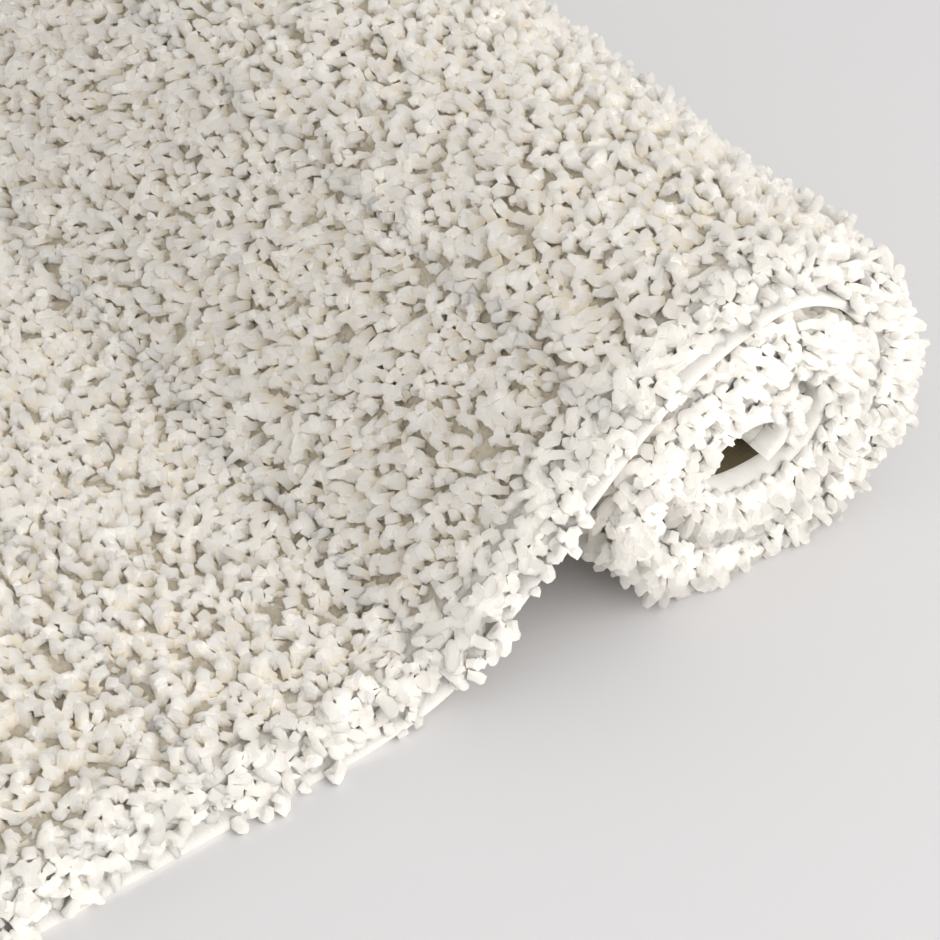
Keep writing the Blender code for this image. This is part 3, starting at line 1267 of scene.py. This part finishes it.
@dataclass
class Pile:
    """The shag pile: a bed of packed yarn roots, and the yarn ends that stand on it.

    The comb is how far all yarns lean one way, less and less over the last edge_wide before an edge. In
    the outer share of that, from turn_from on, they turn outwards, or ahead at the free end. The overs
    are places on the binding, as shares of its width, and over_up is how high the ground of the hanging
    yarns is at each. Looks is at how many lengths of a stretch the bed's height is looked at.
    """

    rug: Rug = field(default_factory=lambda: RUG)
    tufts: Tufts = Tufts()
    cover: Cover = Cover()
    foot: float = 3.3 * MM
    foot_gap: float = 0.5 * MM
    yarn_over_bed: float = 3.0 * MM
    sunk: float = 0.9 * MM
    yarn_long: float = 6.4 * MM
    yarn_least: float = 3.0 * MM
    comb: Triple = (-0.35, -0.5, 0.0)
    shoulder: float = 0.22
    least_bed: float = 1.2 * MM
    bed_step: float = 9.0 * MM
    ground_step: float = 7.0 * MM
    wall_step: float = 3.5 * MM
    least_stops: int = 3
    least_steps: int = 2
    looks: int = 9
    end_flare: float = 3.0 * MM
    sag_top: float = 1.2 * MM
    edge_wide: float = 18.0 * MM
    turn_from: float = 0.5
    aside_top: float = 0.55
    ahead_top: float = 0.7
    ahead_wall: float = 1.3
    flat_wall: float = 0.4
    flat_over: float = 0.5
    spill_top: float = 0.3
    spill_wall: float = 0.7
    overs: tuple[float, ...] = (0.03, 0.5, 1.0, 1.03)
    over_up: tuple[float, ...] = (3.8 * MM, 4.3 * MM, 3.8 * MM, 1.0 * MM)
    hidden_from: float = 0.690
    hidden_inset: float = 0.045
    soft: float = 0.85
    soft_rim: float = 0.99
    seed: int = 5

    stretches: tuple[Stretch, ...] = (
        Stretch("pile_flat_front", 0.000, 0.105),
        Stretch("pile_flat_middle", 0.105, 0.205),
        Stretch("pile_flat_back", 0.205, 0.305),
        Stretch("pile_rise", 0.305, 0.405),
        Stretch("pile_top", 0.405, 0.500),
        Stretch("pile_back", 0.500, 0.590, 0.88),
        Stretch("pile_underneath", 0.590, 0.690, 0.3),
        Stretch("pile_core", 0.690, 0.891),
    )

    def bed_height(self, length: np.ndarray) -> np.ndarray:
        """How high the bed of roots stands at these lengths."""
        rise = self.rug.pile(length)
        return self.foot + np.maximum(rise - self.yarn_over_bed, self.least_bed)

    def rim(self, length: float | np.ndarray, what: Measure) -> np.ndarray:
        """One measure of the side rims at these lengths."""
        told = [getattr(rim, what.value) for rim in RIMS]
        return np.interp(length, [rim.length for rim in RIMS], told)

    def bed(self, material: bpy.types.Material) -> bpy.types.Object:
        """Makes the bed of roots: one closed lumpy slab under all the yarn ends.

        Args:
            material: Its finish.

        Returns:
            The bed.
        """
        start, end = self.rug.inside
        lengths = np.linspace(start, end, round((end - start) / self.bed_step))
        half = self.rug.half_inside
        sides = np.linspace(-half, half, round(2 * half / self.bed_step))
        low = np.full((len(lengths), len(sides)), self.foot)
        high = np.repeat(self.bed_height(lengths)[:, None], len(sides), axis=1)
        sunk = self.tufts.sunk(lengths[:, None], sides)
        high = np.maximum(high - sunk, self.foot + self.least_bed / 2)
        flare = self.rim(lengths, Measure.FLARE)[:, None]
        shoulder = low + (high - low) * self.shoulder
        points, faces = slab(lengths, sides, [(low, 0.0), (shoulder, flare), (high, flare)])
        made = mesh_object("pile_bed", self.rug.laid(points), faces, material)
        flat_map(made, points)
        # The edge mask sets where the bed's rim colour, painted light, takes over, where light reaches the
        # roots.
        pale = self.edge_wide / 2
        near = (np.abs(points[:, 1]) - half + pale) / pale
        keep_values(made.data, "edge", np.clip(near, 0.0, 1.0), Kind.NUMBER)
        return made

    def ground(self, stretch: Stretch) -> bpy.types.Object:
        """Makes the open surface that one stretch's yarns grow from, with their ways and lengths.

        Args:
            stretch: The stretch.

        Returns:
            The surface.
        """
        stops, rows = self._stops(stretch), self._rows(stretch)
        spots = [self._spot(stop, row) for stop in stops for row in rows]
        wide = len(rows)
        faces = [(a, a + 1, a + wide + 1, a + wide) for a in cells(len(stops), wide)]
        points = self.rug.laid(np.array([spot.flat for spot in spots]))
        data = bpy.data.meshes.new(stretch.name)
        data.from_pydata([tuple(p) for p in points], [], faces)
        crowd = [spot.crowd * (stretch.crowd if spot.edge == 0.0 else 1.0) for spot in spots]
        keep_values(data, "grow", [spot.grow for spot in spots], Kind.VECTOR)
        keep_values(data, "reach", [spot.reach for spot in spots], Kind.NUMBER)
        keep_values(data, "sag", [spot.sag for spot in spots], Kind.NUMBER)
        keep_values(data, "crowd", crowd, Kind.NUMBER)
        keep_values(data, "edge", [spot.edge for spot in spots], Kind.NUMBER)
        return linked(stretch.name, data)

    def _spot(self, stop: Row, row: Row) -> Spot:
        """Works out one point of the ground, with what its yarns need.

        Args:
            stop: Its row across the rug.
            row: Its row along the rug.

        Returns:
            The point.
        """
        half, start = self.rug.half_inside, self.rug.inside[0]
        length, across, wall = stop.place, row.place, 1.0 - min(stop.up, row.up)
        side = float(np.clip((abs(across) - half + self.edge_wide) / self.edge_wide, 0.0, 1.0))
        front = float(np.clip((start + self.edge_wide - length) / self.edge_wide, 0.0, 1.0))
        edge = max(side, front)
        grow = self._grow(stop, row, side, front) + np.array(self.comb) * (1.0 - edge)
        tall = min(self.yarn_long, max(float(self.rug.pile(length)), self.yarn_least))
        spill = float(self.rim(length, Measure.SPILL))
        reach = tall + (spill - tall) * edge * (self.spill_top + self.spill_wall * wall)
        sag = self.sag_top + (float(self.rim(length, Measure.SAG)) - self.sag_top) * edge
        over = max(stop.over, row.over)
        unseen = length > self.hidden_from and half - abs(across) > self.hidden_inset
        crowd = 0.0 if unseen else 1.0
        if over > 0.0:
            crowd = self.cover.share(float(self.rim(length, Measure.COVER)), length, across, over)
        return Spot(self._flat(stop, row, front == 1.0), tuple(grow), reach, sag, edge, crowd)

    def _grow(self, stop: Row, row: Row, side: float, front: float) -> np.ndarray:
        """Works out which way the uncombed yarns stand at one point: outwards, and over the nearest edge.

        Args:
            stop: The point's row across the rug.
            row: Its row along the rug.
            side: How near a side edge it is, from 0 to 1.
            front: How near the free end it is, from 0 to 1.

        Returns:
            The direction in the world.
        """
        length, wall = stop.place, 1.0 - min(stop.up, row.up)
        aside = float(self.rim(length, Measure.ASIDE)) * (self.aside_top * side**2 + wall)
        aside *= side > self.turn_from
        ahead = self.ahead_top * front**2 + self.ahead_wall * (1.0 - stop.up)
        ahead *= front > self.turn_from
        way = self.rug.direction(np.asarray(length))
        upright = 1.0 - self.flat_wall * wall - self.flat_over * max(stop.over, row.over)
        grow = self.rug.outward(length) * upright
        return grow + (math.copysign(aside, row.place), -way[0] * ahead, -way[1] * ahead)

    def _flat(self, stop: Row, row: Row, leaning: bool) -> Triple:
        """Works out where one point of the ground is on the flat rug.

        Args:
            stop: The point's row across the rug.
            row: Its row along the rug.
            leaning: Whether it leans out over the free end.

        Returns:
            Its length, how far across it is, and its height.
        """
        length, across, up = stop.place, row.place, min(stop.up, row.up)
        over, wall = max(stop.over, row.over), 1.0 - up
        flare = float(self.rim(length, Measure.FLARE)) * min(row.up / self.shoulder, 1.0)
        out = across * (1.0 + flare / self.rug.half_inside)
        sunk = self.sunk if 0.0 < wall < 1.0 else 0.0
        out += math.copysign(row.over * self.rug.edging - sunk, across)
        low, high = self.foot + self.foot_gap, float(self.bed_height(length))
        rise = low + (high - low - float(self.tufts.sunk(length, across)) * up) * up
        rise -= self.sunk * up
        if over > 0.0:
            rise = float(np.interp(over, self.overs, self.over_up))
        ahead = self.end_flare * stop.up if leaning else 0.0
        return length - stop.over * self.rug.edging - ahead, out, rise

    def _stops(self, stretch: Stretch) -> list[Row]:
        """Lists the rows across the rug, first those up the free end's binding and wall.

        Args:
            stretch: The stretch of the pile.

        Returns:
            The rows.
        """
        start, end = self.rug.inside
        count = max(self.least_stops, round((stretch.end - stretch.start) / self.ground_step))
        inside = np.clip(np.linspace(stretch.start, stretch.end, count), start, end)
        stops = [Row(float(length), 1.0) for length in inside]
        if stretch.start >= start:
            return stops
        steps = self._steps(stretch)
        hung = [Row(start, 0.0, over) for over in reversed(self.overs)]
        return hung + [Row(start, k / steps) for k in range(steps)] + stops

    def _rows(self, stretch: Stretch) -> list[Row]:
        """Lists the rows along the rug: over one binding, up its wall, across the top and down again.

        Args:
            stretch: The stretch of the pile.

        Returns:
            The rows.
        """
        half, steps = self.rug.half_inside, self._steps(stretch)
        wall = [Row(half, 1.0 - k / steps) for k in range(1, steps + 1)]
        wall += [Row(half, 0.0, over) for over in self.overs]
        top = [Row(float(x), 1.0) for x in np.linspace(-half, half, round(2 * half / self.ground_step))]
        return [Row(-row.place, row.up, row.over) for row in reversed(wall)] + top + wall

    def _steps(self, stretch: Stretch) -> int:
        """How many rows the wall of this stretch takes."""
        tallest = float(self.bed_height(np.linspace(stretch.start, stretch.end, self.looks)).max())
        return max(self.least_steps, round((tallest - self.foot) / self.wall_step))

    def build(self, yarn: bpy.types.Material, roots: bpy.types.Material) -> list[bpy.types.Object]:
        """Makes the bed and every stretch of yarn ends.

        Args:
            yarn: The finish of the yarn ends.
            roots: The finish of the bed.

        Returns:
            The pieces, the bed first.
        """
        tree = YarnTree(yarn)
        pieces = [self.bed(roots)]
        for number, stretch in enumerate(self.stretches):
            grown = tree.grow(self.ground(stretch), {"Seed": self.seed + number})
            edge = values_of(grown, "edge", Kind.NUMBER)
            share = self.soft + (self.soft_rim - self.soft) * edge
            uncombed = values_of(grown, "grow", Kind.VECTOR) - (1.0 - edge) * np.array(self.comb)
            soften(grown, uncombed, share)
            pieces.append(grown)
        for piece in pieces:
            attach(piece, BODY)
            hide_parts("pile")
        return pieces


@dataclass
class Backing:
    """The woven sheet that carries the pile."""

    rug: Rug = field(default_factory=lambda: RUG)
    step: float = 4.0 * MM
    step_across: float = 24.0 * MM

    def build(self, material: bpy.types.Material) -> bpy.types.Object:
        """Makes the sheet.

        Args:
            material: Its finish.

        Returns:
            The sheet.
        """
        start, end = self.rug.inside
        lengths = np.linspace(start, end, round((end - start) / self.step))
        half = self.rug.half_inside
        sides = np.linspace(-half, half, round(2 * half / self.step_across))
        low = np.zeros((len(lengths), len(sides)))
        points, faces = slab(lengths, sides, [(low, 0.0), (low + self.rug.backing, 0.0)])
        made = mesh_object("backing_sheet", self.rug.laid(points), faces, material)
        flat_map(made, points)
        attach(made, BODY)
        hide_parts("backing")
        return made


@dataclass
class Binding:
    """The overcast edge: a folded tape along each edge, wrapped in close turns of yarn.

    The fold is the lower half of the tape's rounded outer edge: how far in from the rug's edge and how
    high each corner is. The upper half mirrors it.
    """

    rug: Rug = field(default_factory=lambda: RUG)
    step: float = 4.0 * MM
    end_stops: int = 30
    fold: tuple[tuple[float, float], ...] = ((2.2 * MM, 0.0), (0.8 * MM, 0.4 * MM), (0.1 * MM, 1.3 * MM))
    soft: float = 0.5
    soft_rise: float = 0.25

    def outline(self) -> list[tuple[float, float]]:
        """The tape's section: how far in from the rug's edge, and how high, at each corner."""
        under = [(self.rug.binding_wide, 0.0), *self.fold]
        return under + [(deep, self.rug.binding_thick - up) for deep, up in reversed(under)]

    def tape(
        self, name: str, rails: list[np.ndarray], material: bpy.types.Material
    ) -> bpy.types.Object:
        """Makes a closed tape through flat outlines.

        Args:
            name: The piece's name.
            rails: The flat outline at each stop, one array of points each.
            material: The tape's finish.

        Returns:
            The tape.
        """
        count = len(rails[0])
        faces = []
        for i in range(len(rails) - 1):
            for j in range(count):
                a, b = i * count + j, i * count + (j + 1) % count
                faces.append((a, b, b + count, a + count))
        faces.append(tuple(reversed(range(count))))
        faces.append(tuple(range((len(rails) - 1) * count, len(rails) * count)))
        flat = np.vstack(rails)
        made = mesh_object(name, self.rug.laid(flat), faces, material)
        flat_map(made, flat)
        return made

    def side(self, side: Side, material: bpy.types.Material) -> bpy.types.Object:
        """Makes the binding along one long side.

        Args:
            side: The side.
            material: The tape's finish.

        Returns:
            The tape.
        """
        lengths = np.linspace(0.0, self.rug.length, round(self.rug.length / self.step))
        half = self.rug.width / 2
        rails = [
            np.array([(length, side.value * (half - deep), up) for deep, up in self.outline()])
            for length in lengths
        ]
        made = self.tape(f"binding_{side.name.lower()}_tape", rails, material)
        ways = np.tile((float(side.value), 0.0, self.soft_rise), (len(made.data.vertices), 1))
        soften(made, ways, self.soft)
        return made

    def end(self, end: End, material: bpy.types.Material) -> bpy.types.Object:
        """Makes the binding across one end.

        Args:
            end: The end.
            material: The tape's finish.

        Returns:
            The tape.
        """
        half = self.rug.half_inside
        edge, inward = (0.0, 1) if end is End.FREE else (self.rug.length, -1)
        rails = [
            np.array([(edge + inward * deep, across, up) for deep, up in self.outline()])
            for across in np.linspace(-half, half, self.end_stops)
        ]
        return self.tape(f"binding_{end.value}_tape", rails, material)

    def build(self, material: bpy.types.Material) -> list[bpy.types.Object]:
        """Makes the binding of all four edges.

        Args:
            material: The tape's finish.

        Returns:
            The four tapes.
        """
        pieces = []
        for side in Side:
            piece = self.side(side, material)
            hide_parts(f"binding_{side.name.lower()}")
            pieces.append(piece)
        for end in End:
            piece = self.end(end, material)
            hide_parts(f"binding_{end.value}")
            pieces.append(piece)
        for piece in pieces:
            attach(piece, BODY)
        return pieces


@dataclass(frozen=True)
class Studio:
    """The pale floor, the soft light and the camera."""

    floor_wide: float = 12.0
    floor_colour: Colour = (0.88, 0.87, 0.873, 1.0)
    floor_rough: float = 0.9
    key_place: Triple = (2.08, 0.75, 0.74)
    key_wide: float = 2.6
    key_power: float = 43.5
    key_colour: Triple = (1.0, 0.99, 0.98)
    sky_colour: Colour = (1.0, 1.0, 1.0, 1.0)
    sky_power: float = 0.60
    lens: float = 100.0
    sensor: float = 36.0
    nearest: float = 0.01
    azimuth: float = math.radians(54.4)
    elevation: float = math.radians(42.3)
    camera_place: Triple = (0.786, -0.288, 0.652)

    def floor(self) -> None:
        """Lays a wide pale floor."""
        bpy.ops.mesh.primitive_plane_add(size=self.floor_wide, location=(0.0, 0.0, 0.0))
        plane = bpy.context.object
        plane.name = "floor"
        finish = bpy.data.materials.new("floor")
        finish.use_nodes = True
        shader = finish.node_tree.nodes["Principled BSDF"]
        shader.inputs["Base Color"].default_value = self.floor_colour
        shader.inputs["Roughness"].default_value = self.floor_rough
        plane.data.materials.append(finish)

    def key(self) -> None:
        """Sets one soft square light that faces the rug."""
        data = bpy.data.lights.new("key", "AREA")
        data.energy, data.size, data.color = self.key_power, self.key_wide, self.key_colour
        lamp = linked("key", data)
        lamp.location = self.key_place
        lamp.rotation_euler = (-Vector(self.key_place)).to_track_quat("-Z", "Y").to_euler()

    def camera(self) -> None:
        """Sets the camera at the photograph's viewing angle."""
        data = bpy.data.cameras.new("camera")
        data.lens, data.sensor_width = self.lens, self.sensor
        data.clip_start = self.nearest
        level = math.cos(self.elevation)
        way = Vector((
            -math.sin(self.azimuth) * level,
            math.cos(self.azimuth) * level,
            -math.sin(self.elevation),
        ))
        seen = linked("camera", data)
        seen.location = self.camera_place
        seen.rotation_euler = way.to_track_quat("-Z", "Y").to_euler()
        bpy.context.scene.camera = seen

    def build(self) -> None:
        """Sets the whole studio."""
        self.floor()
        self.key()
        self.camera()
        world = bpy.data.worlds.new("studio")
        world.use_nodes = True
        sky = world.node_tree.nodes["Background"]
        sky.inputs["Color"].default_value = self.sky_colour
        sky.inputs["Strength"].default_value = self.sky_power
        bpy.context.scene.world = world
        bpy.context.scene.view_settings.view_transform = "Standard"


CREAM_YARN = YarnFinish(
    "cream_yarn",
    tip=(0.83, 0.81, 0.77, 1.0),
    root=(0.785, 0.745, 0.68, 1.0),
    # Painted shade: the deep colour at the yarns' roots and in the shorter tufts.
    deep=(0.80, 0.71, 0.56, 1.0),
    # Painted light: the rim colour at the rug's edges, where light reaches the roots.
    rim=(0.82, 0.79, 0.735, 1.0),
)
YARN_ROOTS = ClothFinish(
    "yarn_roots",
    # Painted shade: the bed's warm beige, mottled with dark olive brown, stands for the warm shade between
    # the yarns.
    light=(0.90, 0.82, 0.67, 1.0),
    dark=(0.36, 0.29, 0.17, 1.0),
    runs=(),
    cloud=420.0,
    relief=1.0,
    relief_deep=1.6 * MM,
    # Painted light: the bed is lighter at the rug's edges, where light reaches the roots.
    rim=(0.90, 0.875, 0.82, 1.0),
)
WOVEN_BACKING = ClothFinish(
    "woven_backing",
    # A jute brown, darkened further as painted shade for the shade inside the roll's hollow.
    light=(0.14, 0.11, 0.065, 1.0),
    dark=(0.08, 0.062, 0.036, 1.0),
)
OVERCAST_YARN = ClothFinish(
    "overcast_yarn",
    light=(0.91, 0.885, 0.835, 1.0),
    dark=(0.85, 0.82, 0.76, 1.0),
    weave=240.0,
    runs=(Run.LENGTH,),
    relief=0.35,
    glow=0.7,
)


def main() -> None:
    """Builds the rug and the studio, and reports each piece."""
    logging.basicConfig(level=logging.INFO, format="%(message)s")
    fibres = Fibres()
    yarn, roots = CREAM_YARN.material(fibres), YARN_ROOTS.material(fibres)
    weave, edge = WOVEN_BACKING.material(fibres), OVERCAST_YARN.material(fibres)
    sheet = Backing().build(weave)
    bindings = Binding().build(edge)
    pile = Pile().build(yarn, roots)
    for piece in (sheet, *bindings, *pile):
        piece.data.calc_loop_triangles()
        LOG.info("%s: %d triangles", piece.name, len(piece.data.loop_triangles))
    Studio().build()


if __name__ == "__main__":
    main()
